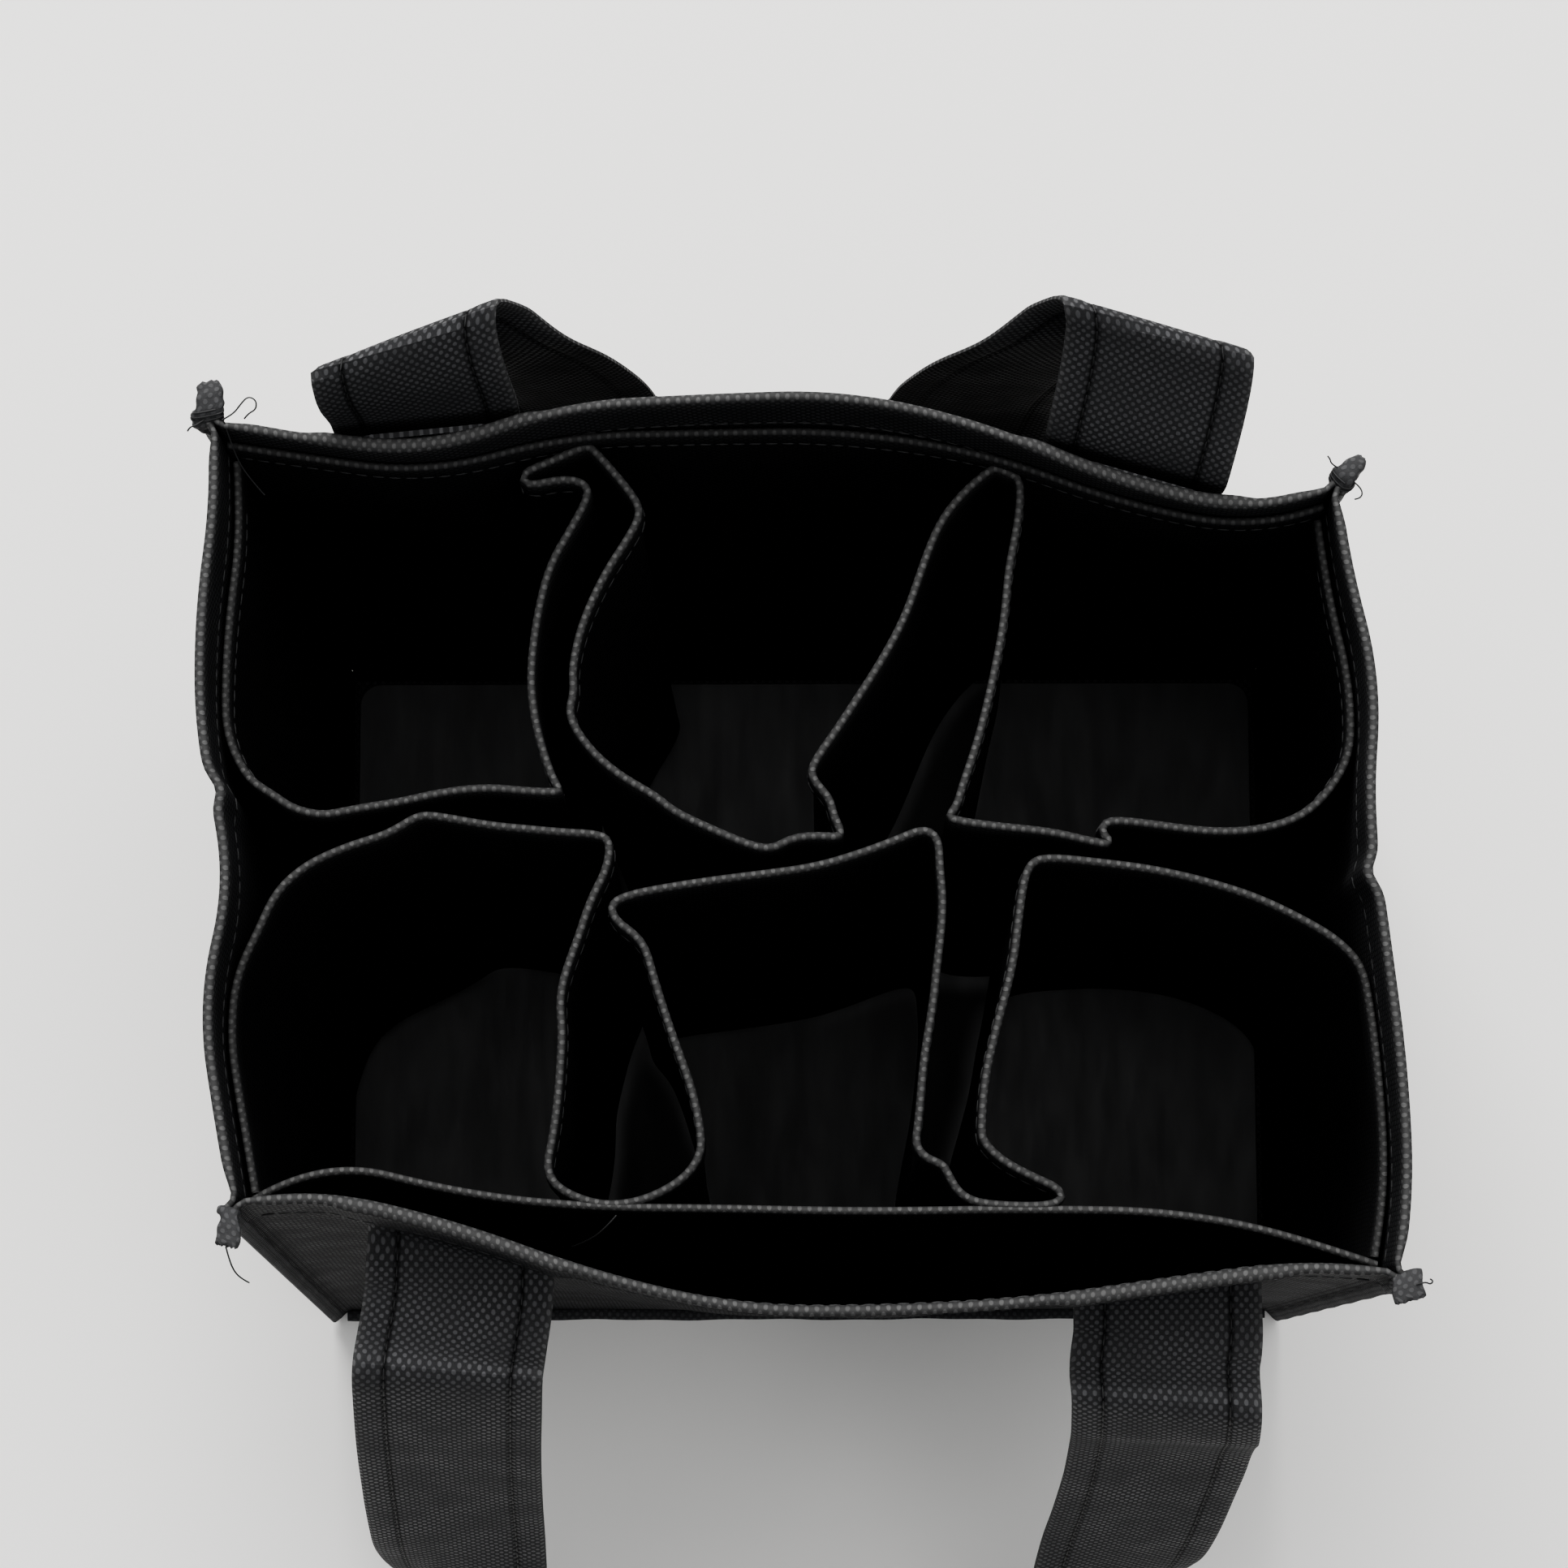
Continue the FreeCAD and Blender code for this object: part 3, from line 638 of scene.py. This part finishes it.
# Frames of the free loop: its line hangs along the leaning plane, and its width turns from lying in that
# plane at the legs to standing square to it at the tip; both ease into the slant of each crease.
def loopFrames(side):
    style, strap = handles[side], straps[side]
    out = walls[side]["out"][1]
    lean = math.radians(style["lean"])
    down = np.array([0, out * math.sin(lean), -math.cos(lean)])
    face = np.array([0, out * math.cos(lean), math.sin(lean)])
    line = splineSteps(strap["loop"], straps["loopFine"], straps["loopSteps"])
    origin = np.array([0, out * style["creaseOut"], style["creaseHeight"]]) + face * straps["loopOff"]
    middle = origin + line[:, :1] * np.array([1, 0, 0]) + line[:, 1:] * down
    run = unit(np.gradient(middle, axis=0))
    way = np.linspace(-1, 1, len(line))
    turn = np.where(way < 0, *(ease(1 - np.abs(way), first, 1) for first in strap["turnFrom"]))
    turn = turn[:, None] * np.pi / 2
    outward = np.cross(run, face) * -out
    across = (outward * np.cos(turn) - face * np.sin(turn)) * straps["width"] / 2
    slanted = np.zeros((len(line), 1))
    past = np.array([0, out * straps["pastCrease"], -straps["pastCrease"]])
    for end, part in ((0, way < 0), (1, way > 0)):
        near = ((1 - ease(line[:, 1], 0, straps["throughCrease"])) * part)[:, None]
        middle = middle + near * (np.array(strap["crease"][end]) - middle[-end] + past)
        across = across + near * (np.array(strap["slant"][end]) * (1 if end else -1) - across)
        slanted = slanted + near
    return np.hstack([middle, across, slanted])[straps["loopTrim"]:-straps["loopTrim"]]


# Whole strap: caught end, crease, free loop and back again as one spline of frames, with the width kept
# and turned square to the run except at a slanted crease.
def strapFrames(side):
    strap, ends = straps[side], []
    for k, sign in ((0, -1), (1, 1)):
        root = rootFrames(side, handles[side]["legs"][k])
        slant = np.array(strap["slant"][k])
        approach = np.r_[strap["approach"][k], (root[-1, 3:] + slant) / 2, 0.5]
        crease = np.r_[strap["crease"][k], slant, 1]
        frames = np.vstack([np.pad(root, ((0, 0), (0, 1))), approach, crease])
        frames[:, 3:6] *= sign
        ends.append(frames)
    poles = np.vstack([ends[0], loopFrames(side), ends[1][::-1]])
    frames = splineSteps(poles, straps["fine"], straps["along"])
    middle, half, slanted = frames[:, :3], frames[:, 3:6], frames[:, 6:]
    run = unit(np.gradient(middle, axis=0))
    half = half - run * np.sum(half * run, 1, keepdims=True) * (1 - slanted)
    return middle, half * straps["width"] / 2 / np.linalg.norm(half, axis=1, keepdims=True)


# Strap surface, thickness and painted light with wear: two thicker folded edges, a sewn groove inside each
# with painted shade in it, thin rims rubbed pale with a painted highlight, and a slow curl and flutter of the
# free cloth off its own plane.
def strapSurface(side):
    middle, half = strapFrames(side)
    v, phase = np.array(straps["across"]), straps[side]["phase"]
    grid = middle[:, None] + half[:, None] * v[:, None]
    t = np.linspace(0, 1, len(middle))[:, None]
    free = ease(np.minimum(t, 1 - t), *straps["freeSpan"])
    flutter = sum(size * np.sin(2 * np.pi * (along * t + across * v) + share * phase)
                  for size, along, across, share in straps["waves"])
    curl = straps["curl"] * (v * v - straps["curlFlat"]) * np.sin(2 * np.pi * straps["curls"] * t + phase)
    grid = grid + gridNormals(grid) * (free * (flutter + curl))[..., None]
    size = np.abs(v)
    groove = np.exp(-((size - straps["grooveAt"]) / straps["grooveWide"]) ** 2)
    crest = ease(1 - np.abs(size - straps["crestAt"]) / straps["crestWide"], 0, 1)
    thick = straps["thick"] + straps["edgeThick"] * ease(size, *straps["edgeSpan"])
    thick = thick - straps["grooveDeep"] * groove
    thick = thick * (1 - straps["rimThin"] * ease(size, *straps["rimSpan"])) + 0 * t
    return grid, thick, straps["crestWearAndLight"] * crest - groove


stitch = {
    "pitch": 3.2, "long": 2.5, "flat": 0.8, "sides": 6, "radius": 0.26,
    "rings": (-1, -0.75, 0, 0.75, 1), "swell": (0.25, 0.75, 1, 0.75, 0.25),
}


# Seam lines on a cloth: columns of its grid without their ends, each lifted to the face that its sign
# names, and the lift as its outward direction.
def seamRows(grid, thickness, columns, trim):
    lift = halfThickness(grid, thickness)
    return [((grid + sign * lift)[trim:-trim, k], sign * lift[trim:-trim, k]) for k, sign in columns]


# Stitch lozenges along lines on a surface: each is five small rings that swell in the middle, laid along
# the line at even pitch and half sunk in the cloth.
def stitchMesh(name, rows):
    rings, sides = len(stitch["rings"]), stitch["sides"]
    turn = ringTurn(sides)[:, None]
    along = np.array(stitch["rings"])[:, None, None] * stitch["long"] / 2
    swell = np.array(stitch["swell"])[:, None, None] * stitch["radius"]
    points = []
    for line, normal in rows:
        count = max(2, int(runLength(line)[-1] / stitch["pitch"]))
        both = evenSteps(np.hstack([line, normal]), 2 * count + 1)
        run = unit(np.gradient(both[:, :3], axis=0)[1::2])
        spot, up = both[1::2, :3], both[1::2, 3:]
        up = unit(up - run * np.sum(up * run, 1, keepdims=True))
        side = np.cross(run, up)
        ring = side[:, None, None] * np.cos(turn) * stitch["flat"] + up[:, None, None] * np.sin(turn)
        points.append(spot[:, None, None] + run[:, None, None] * along + ring * swell)
    points = np.vstack(points)
    caps = np.array([[0, 1, 2, 3], [0, 3, 4, 5]])
    one = np.vstack([gridQuads(rings, sides, True), caps, caps[:, ::-1] + (rings - 1) * sides])
    quads = (np.arange(len(points))[:, None, None] * rings * sides + one).reshape(-1, 4)
    flat = points.reshape(-1, 3)
    return meshObject(name, flat, quads, flat[:, :2], threadMaterial, sharp=80)


for side in ("front", "back"):
    grid, thick, wearAndPaintedLight = strapSurface(side)
    strap = clothShell(side + "HandleStrap", grid, thick, strapCloth, wearAndPaintedLight, straps["middleColumn"])
    rows = seamRows(grid, thick, straps["sewnColumns"], straps["sewnTrim"])
    sewn = stitchMesh(side + "HandleStitches", rows)
    for piece in (strap, sewn):
        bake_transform(piece)
    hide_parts(*(side + "_handle_" + part for part in ("left_end", "right_end", "loop")))
print("straps sewn")

tape = {
    "half": 1.75, "thick": 0.85, "overHem": 0.75, "hemSpan": (201, 210), "stand": 0.9,
    "heights": (2, 60, 120, 180, 219, 223.5), "around": 28, "straight": 50, "top": 60,
    "topLong": 20, "earLong": 14, "swellOver": 5.5, "turnOver": 6, "taperOver": 7, "frayOver": 1.5,
    "wearAndPaintedLight": 0.35, "wearAndLightFrom": -3.4, "rolled": 0.9, "fine": 4000, "seedStart": 0.4, "seedStep": 1.9,
    "tip": ((0.9, 0, 0, 0.4, -1.2), (0, 0.4, 1.5, 1, -0.6), (0, 1, 0, 1, -1)),
    "capRound": 2.6, "capCut": 2.1, "closeRound": 0.86, "closeCut": 0.4, "waistAt": 5.2, "waistWide": 1.3,
    "ridgePitch": 2.7, "lumps": ((0.04, 3, 0, 1), (0.03, 5, -0.9, 2)), "fray": 0.35, "frays": 7,
    "flutter": 0.15, "flutterPace": 0.21,
}
# ears: the heading is in degrees in plan, lengths in millimetres, the rest in shares of one
earKeys = ("corner", "heading", "reach", "wide", "high", "square", "ridge", "waist", "taper", "rise", "aside")
earRows = {
    "backLeft": ((-1, 1), 99, 8.2, 3, 1.7, 0.75, 0.05, 0, 0.22, 1, (0, 0)),
    "backRight": ((1, 1), 45, 8.2, 2.4, 1.6, 0.35, 0.05, 0, 0.3, 1.1, (0, 0)),
    "frontLeft": ((-1, -1), 258, 8.6, 2.3, 1.1, 1, 0.03, 0.26, 0, 0.6, (0, 0)),
    "frontRight": ((1, -1), 285, 7.2, 2.8, 0.85, 1, 0.02, 0, -0.08, 0.4, (1, 1.5)),
}
ears = {name: dict(zip(earKeys, row)) for name, row in earRows.items()}
# thread: loose ends, and turns wound round the foot of a rolled ear between two stations from its tip
thread = {
    "fine": 600, "sides": 6, "across": (0.31, 0.22, 0.92), "radius": 0.17, "steps": 40, "woundRadius": 0.2,
    "woundSteps": 120, "woundPoints": 60, "turns": 2.3, "stations": (20, 16), "over": 0.12,
}


# Line of a bound corner seam: up the corner, then over the rim and out along the ear's heading.
def tapeLine(ear):
    out = np.array([*ear["corner"], 0]) / math.sqrt(2)
    heading = math.radians(ear["heading"])
    ahead = np.array([math.cos(heading), math.sin(heading), 0])
    stand = out * (tape["stand"] + tape["half"])
    rim = corner(*ear["corner"], np.float64(bag["rim"])) + (*ear["aside"], 0)
    tip = [rim + stand * beside + ahead * (share * ear["reach"] + step) + (0, 0, up * ear["rise"] + drop)
           for beside, share, step, up, drop in tape["tip"]]
    poles = np.vstack([corner(*ear["corner"], np.array(tape["heights"])) + stand, tip])
    line = clampedSpline(poles, np.linspace(0, 1, tape["fine"]))
    length = runLength(line)
    top = length[-1] - tape["topLong"]
    spots = np.r_[np.linspace(0, top, tape["straight"])[:-1], np.linspace(top, length[-1], tape["top"])]
    return atLengths(line, length, spots), (length[-1] - spots)[:, None], out, ahead


# Rings of a bound corner seam: a rounded section, flat along the corner and swelling into the ear, which
# has ridges round it, a waist where it is drawn together, and a rounded or cut end.
def tapeRings(ear, seed, grow=0):
    line, left, out, ahead = tapeLine(ear)
    share = ease(tape["earLong"] - left, 0, tape["swellOver"])
    run = unit(np.gradient(line, axis=0))
    facing = out + (ahead - out) * ease(tape["earLong"] - left, 0, tape["turnOver"])
    side = unit(np.stack([-facing[:, 1], facing[:, 0], facing[:, 2]], -1))
    third = np.cross(run, side)
    turn = ringTurn(tape["around"])
    soft = softSection(turn)
    cap = tape["capRound"] - tape["capCut"] * ear["square"]
    closed = np.clip(1 - left / cap, 0, 1) ** 2 * (tape["closeRound"] - tape["closeCut"] * ear["square"])
    close = np.sqrt(np.clip(1 - closed, 0, 1))
    waist = 1 - ear["waist"] * np.exp(-((left - tape["waistAt"]) / tape["waistWide"]) ** 2)
    waist = waist * (1 - ear["taper"] * ease(tape["taperOver"] - left, 0, tape["taperOver"]))
    ridge = 1 + share * ear["ridge"] * np.sin(2 * np.pi * left / tape["ridgePitch"] + turn + seed)
    lump = 1 + share * sum(size * np.sin(count * turn + slip * left + late * seed)
                           for size, count, slip, late in tape["lumps"])
    frayed = ear["square"] * tape["fray"] * ease(tape["frayOver"] - left, 0, tape["frayOver"])
    ragged = frayed * np.sin(tape["frays"] * turn + 3 * seed)
    thick = tape["thick"] + tape["overHem"] * ease(line[:, 2:], *tape["hemSpan"])
    wide = (thick + (ear["wide"] - thick) * share) * close * waist * lump * ridge + grow
    high = (tape["half"] + (ear["high"] - tape["half"]) * share) * close * lump * ridge + grow
    flutter = tape["flutter"] * np.sin(line[:, 2] * tape["flutterPace"] + seed)[:, None] * (1 - share)
    return (line[:, None] + (wide * soft[0] + flutter)[..., None] * side[:, None]
            + (high * soft[1])[..., None] * third[:, None] + ragged[..., None] * run[:, None])


# Thread: a thin round tube along the spline of the given poles.
def threadTube(name, poles, radius, steps):
    line = splineSteps(poles, thread["fine"], steps)
    run = unit(np.gradient(line, axis=0))
    side = unit(np.cross(run, thread["across"]))
    third = np.cross(run, side)
    turn = ringTurn(thread["sides"])[:, None]
    rings = line[:, None] + radius * (np.cos(turn) * side[:, None] + np.sin(turn) * third[:, None])
    sewOn(ringTube(name, rings, threadMaterial, sharp=80), "binding")


# Line wound round a tube's rings at an even pace from one station to another: each of its points is mixed
# from the ring points beside it, first round the ring and then along the tube.
def woundLine(rings):
    spot = np.linspace(0, thread["turns"], thread["woundPoints"])
    station = np.interp(spot, (0, thread["turns"]), [len(rings) - k for k in thread["stations"]])
    count = rings.shape[1]
    low, around = station.astype(int), spot * count
    first = around.astype(int)

    def onRing(row):
        return (rings[row, first % count] * (1 - around + first)[:, None]
                + rings[row, (first + 1) % count] * (around - first)[:, None])

    return onRing(low) * (1 - station + low)[:, None] + onRing(low + 1) * (station - low)[:, None]


for k, (name, ear) in enumerate(ears.items()):
    seed = tape["seedStep"] * k + tape["seedStart"]
    rings = tapeRings(ear, seed)
    # rubbing with a painted highlight: the tape is painted paler towards the ear on top, where the light
    # falls
    wearAndPaintedLight = tape["wearAndPaintedLight"] * ease(np.linspace(tape["wearAndLightFrom"], 1, len(rings)), 0, 1)[:, None]
    piece = ringTube(name + "CornerTape", rings, tapeMaterial, wearAndPaintedLight, sharp=60)
    sewOn(piece, "binding", name.replace("L", "_l").replace("R", "_r") + "_corner_binding")
    if ear["square"] < tape["rolled"]:
        path = woundLine(tapeRings(ear, seed, thread["over"]))
        threadTube(name + "WoundThread", path, thread["woundRadius"], thread["woundSteps"])

# loose thread ends, each under 20 mm long
looseThreads = {
    "backLeftThreadLoop": (
        (-112, 83.4, 229), (-109.9, 84.4, 229.2), (-108.4, 86.3, 229.8), (-107, 87.8, 230),
        (-105.4, 87, 229.8), (-105.5, 85.3, 229.4), (-107, 84.6, 229.2), (-107.8, 83.6, 228.9)),
    "backLeftThreadStub": (
        (-115.4, 83.4, 229.2), (-117, 82.2, 229.3), (-118.2, 82, 229), (-118.6, 81.2, 228.8)),
    "backLeftThreadTail": (
        (-111.6, 83, 229.2), (-110.9, 80.6, 227.2), (-109.6, 76.8, 222.5), (-107.4, 73.8, 219),
        (-105.1, 71.5, 216.5)),
    "frontLeftThreadTail": (
        (-108.7, -73.8, 228.8), (-108.1, -76.4, 227.8), (-107.2, -78.6, 226.2), (-105.8, -79.8, 224.2),
        (-105, -80.2, 222.5)),
    "frontRightThreadKnot": (
        (111.9, -81.4, 229.6), (113.6, -80.9, 229.6), (114.6, -81.4, 229.4), (115.2, -80.7, 229.4),
        (114.5, -80.4, 229.6)),
    "backRightThreadCurl": (
        (103, 71.2, 229.4), (104.4, 70.2, 229.3), (105.4, 68.8, 229.2), (105, 67.5, 229.2),
        (103.8, 67.3, 229.3)),
    "backRightThreadStub": (
        (100.6, 73.4, 229.8), (99.4, 74, 230.1), (99.2, 74.9, 230.4), (98.7, 75.5, 230.4)),
    "frontLinerThread": (
        (-36.8, -67.2, 212.6), (-38.7, -69.4, 212.4), (-41.9, -71.6, 208), (-45.6, -72.6, 203.5)),
}
for name, poles in looseThreads.items():
    threadTube(name, poles, thread["radius"], thread["steps"])
print("corner tapes sewn")

bottomTape = {
    "wide": 2.6, "tuck": 0.7, "around": 20, "steps": 90, "inset": 0.4, "full": 0.8, "seedStep": 1.7,
    "flutter": ((0.12, 0.16, 1), (0.08, 0.41, 2)), "thinBy": 0.06, "thinPace": 0.3,
}


# Tape along a bottom seam: a flat rounded section carried along the seam line with a slight flutter.
def bottomBinding(side, seed):
    low, high = nodeBox(side + "_bottom_binding")
    run = 0 if side in ("front", "back") else 1
    out = walls[side]["out"][1 - run]
    root = (low[1 - run] if out > 0 else high[1 - run]) - out * bottomTape["tuck"]
    along = np.linspace(low[run] + bottomTape["inset"], high[run] - bottomTape["inset"], bottomTape["steps"])
    soft = softSection(ringTurn(bottomTape["around"]))
    rings = np.zeros((len(along), bottomTape["around"], 3))
    flutter = sum(size * np.sin(along * pace + late * seed) for size, pace, late in bottomTape["flutter"])
    thin = 1 - bottomTape["thinBy"] * (1 + np.sin(along * bottomTape["thinPace"] + seed))[:, None]
    rings[..., run] = along[:, None]
    rings[..., 1 - run] = root + out * (bottomTape["wide"] / 2 * (1 + soft[0]) + flutter[:, None])
    rings[..., 2] = (low[2] + high[2]) / 2 + (high[2] - low[2]) / 2 * bottomTape["full"] * thin * soft[1]
    return rings


for k, side in enumerate(("front", "back", "left", "right")):
    rings = bottomBinding(side, bottomTape["seedStep"] * k)
    piece = ringTube(side + "BottomTape", rings, tapeMaterial, sharp=60)
    sewOn(piece, "binding", side + "_bottom_binding")

# bottom cloth lies flat on the ground, a little puckered along its seams
bottom = {"steps": (73, 53), "pucker": 0.1, "reach": 6, "paces": (0.7, 0.66), "level": 0.48, "lift": 0.6}
low, high = nodeBox("bottom_panel")
x, y = np.meshgrid(*(np.linspace(low[k], high[k], bottom["steps"][k]) for k in (0, 1)), indexing="ij")
edge = np.minimum.reduce([x - low[0], high[0] - x, y - low[1], high[1] - y])
paceX, paceY = bottom["paces"]
pucker = bottom["pucker"] * np.exp(-edge / bottom["reach"]) * (np.sin(x * paceX) + np.sin(y * paceY + 1))
grid = np.stack([x, y, bottom["level"] + pucker * bottom["lift"]], -1)
sewOn(clothShell("bottomPanelCloth", grid, bag["cloth"], panelCloth), "cloth", "bottom_panel")

# stiffening board: a rounded rectangle lifted through a bevelled edge
board = {"corner": 5, "bevel": 0.35, "around": 64}
low, high = nodeBox("base_board")
half = (high - low)[:2] / 2
turn = np.linspace(0, 2 * np.pi, board["around"] + 1)[:-1] + np.pi / board["around"]
ring = np.stack([np.sign(f(turn)) * (half[k] - board["corner"]) + board["corner"] * f(turn)
                 for k, f in enumerate((np.cos, np.sin))], -1)
bevel = board["bevel"]
levels = np.array([(low[2], 1), (low[2] + bevel, 0), (high[2] - bevel, 0), (high[2], 1)])
shrink = 1 - levels[:, 1, None, None] * bevel / half
lifted = np.broadcast_to(levels[:, :1, None], (len(levels), board["around"], 1))
rings = np.dstack([ring * shrink, lifted])
sewOn(ringTube("baseBoardSheet", rings, boardMaterial, sharp=30), "board", "base_board")
print("bottom ready")

# hem seams: stitches on both faces of each outer hem and divider, and on the inside of each liner
seams = {
    "hemHeight": 214.5, "linerHeight": 207, "margin": 0.012, "steps": 160, "proud": 0.3,
    "dividerColumns": ((43, 1), (28, -1)), "dividerTrim": 8,
}
for side in ("front", "back", "left", "right"):
    s = np.linspace(seams["margin"], 1 - seams["margin"], seams["steps"])
    out = np.tile(np.array(walls[side]["out"], float), (len(s), 1))
    proud = seams["proud"]
    rows = [(wallPoint(side, s, seams["hemHeight"], 2 * hemRadius(side, s) + proud), out),
            (wallPoint(side, s, seams["hemHeight"], -proud), -out)]
    if side in dividerGrids:
        height = seams["linerHeight"] + clampedSpline(liners[side]["lift"], s)
        rows.append((wallPoint(side + "Liner", s, height, -(bag["linerInset"] + proud)), -out))
        rows += seamRows(dividerGrids[side], bag["cloth"], seams["dividerColumns"], seams["dividerTrim"])
    sewOn(stitchMesh(side + "HemStitches", rows), "cloth")
print("hem seams sewn")

# floor, light and camera
floorMesh = bpy.data.meshes.new("paleFloor")
floorMesh.from_pydata([(-6, -6, 0), (6, -6, 0), (6, 6, 0), (-6, 6, 0)], [], [(0, 1, 2, 3)])
floor = linkObject("paleFloor", floorMesh)
floorMaterial, tree, shader = newMaterial("paleFloorPaint")
setInputs(shader, {"Base Color": (0.84, 0.825, 0.8, 1), "Roughness": 0.6})
floorMesh.materials.append(floorMaterial)

# lights: place, aim, size and power
lights = {
    "windowLight": ((-0.4, 2, 1.6), (0, 0, 0.15), (1.6, 1.2), 84),
    "ceilingFill": ((0.1, 0.4, 2.4), (0, 0, 0.1), (2, 2), 58),
    "frontFill": ((0.7, -2.4, 1), (0, 0, 0.12), (1.8, 1.4), 7),
}
for name, (place, aim, size, power) in lights.items():
    lamp = bpy.data.lights.new(name, "AREA")
    lamp.shape = "RECTANGLE"
    lamp.size, lamp.size_y = size
    lamp.energy = power
    turn = (Vector(aim) - Vector(place)).to_track_quat("-Z", "Y").to_matrix().to_4x4()
    linkObject(name, lamp).matrix_world = Matrix.Translation(place) @ turn

world = bpy.data.worlds.new("softRoom")
world.use_nodes = True
setInputs(world.node_tree.nodes["Background"], {"Color": (0.86, 0.89, 0.93, 1), "Strength": 0.32})
bpy.context.scene.world = world
bpy.context.scene.view_settings.look = "AgX - Medium High Contrast"

view = {"lens": 104.35, "sensor": 36, "place": (-0.0049, -0.1205, 1.0752), "tilt": 8.95, "roll": -0.14}
cameraData = bpy.data.cameras.new("topView")
cameraData.lens = view["lens"]
cameraData.sensor_width = view["sensor"]
camera = linkObject("topView", cameraData)
camera.matrix_world = (Matrix.Translation(view["place"]) @ Matrix.Rotation(math.radians(view["tilt"]), 4, "X")
                       @ Matrix.Rotation(math.radians(view["roll"]), 4, "Z"))
bpy.context.scene.camera = camera
